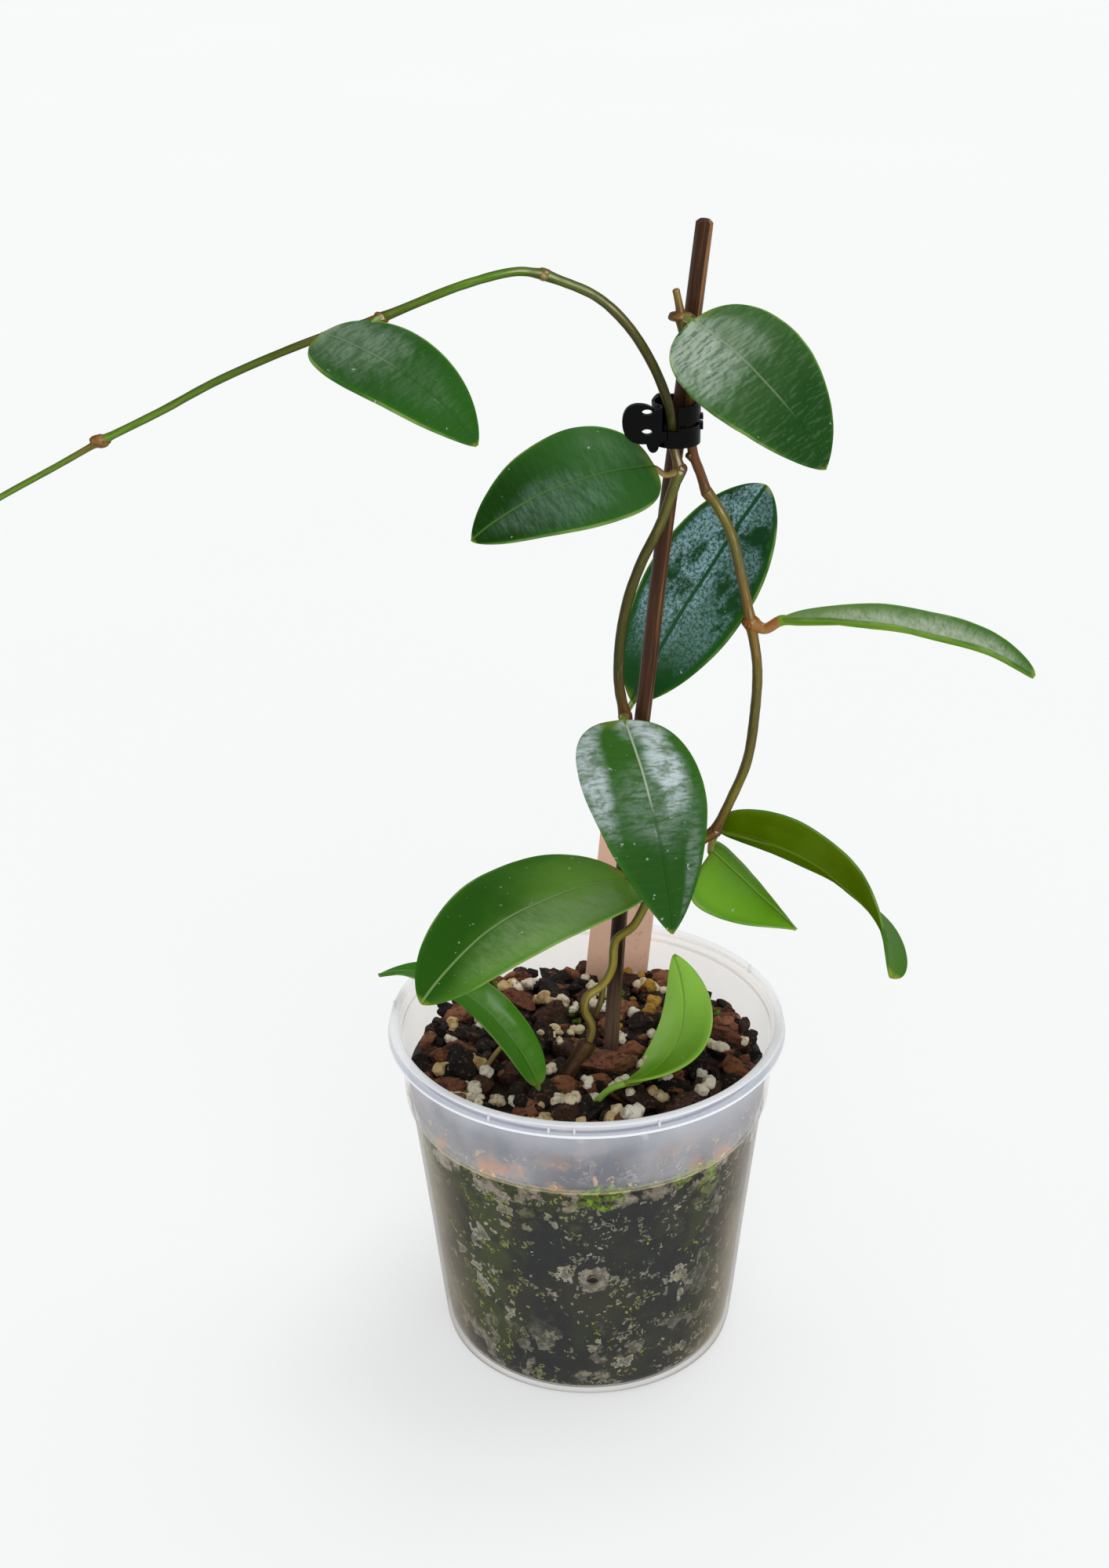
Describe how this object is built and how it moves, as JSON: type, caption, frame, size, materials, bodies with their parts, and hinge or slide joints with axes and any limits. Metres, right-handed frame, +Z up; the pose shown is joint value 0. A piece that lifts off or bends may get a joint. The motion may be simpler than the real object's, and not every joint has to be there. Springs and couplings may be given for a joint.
{
  "type": "potted hoya plant",
  "caption": "Climbing hoya in a clear plastic pot of bark mix: waxy oval leaves on a branching vine clipped to a thin brown cane, with a long arching runner and a blank plant label.",
  "frame": {"origin": "centre of the pot's flat underside", "axes": "+Z up the pot's axis, +X to the right and -Y towards the viewer of the front"},
  "size_m": [0.2891, 0.12, 0.3473],
  "materials": {
    "pot": "milky clear, satin",
    "potting_mix": "rough bark with pale mineral grains",
    "cane": "dark brown, dry",
    "label": "matt pinkish beige",
    "clip": "satin black",
    "stem": "olive to tan, smooth",
    "leaf": "waxy green"
  },
  "bodies": {
    "root": {"pot": "pot", "potting_mix": "potting_mix", "cane": "cane", "label": "label", "clip": "clip", "stem": "stem", "leaf_whip": "leaf", "leaf_top": "leaf", "leaf_middle_left": "leaf", "leaf_behind_cane": "leaf", "leaf_front": "leaf", "leaf_lower_left": "leaf", "leaf_right": "leaf", "leaf_right_drooping": "leaf", "leaf_lower_right": "leaf", "leaf_in_pot_right": "leaf", "leaf_in_pot_left": "leaf"}
  },
  "joints": []
}
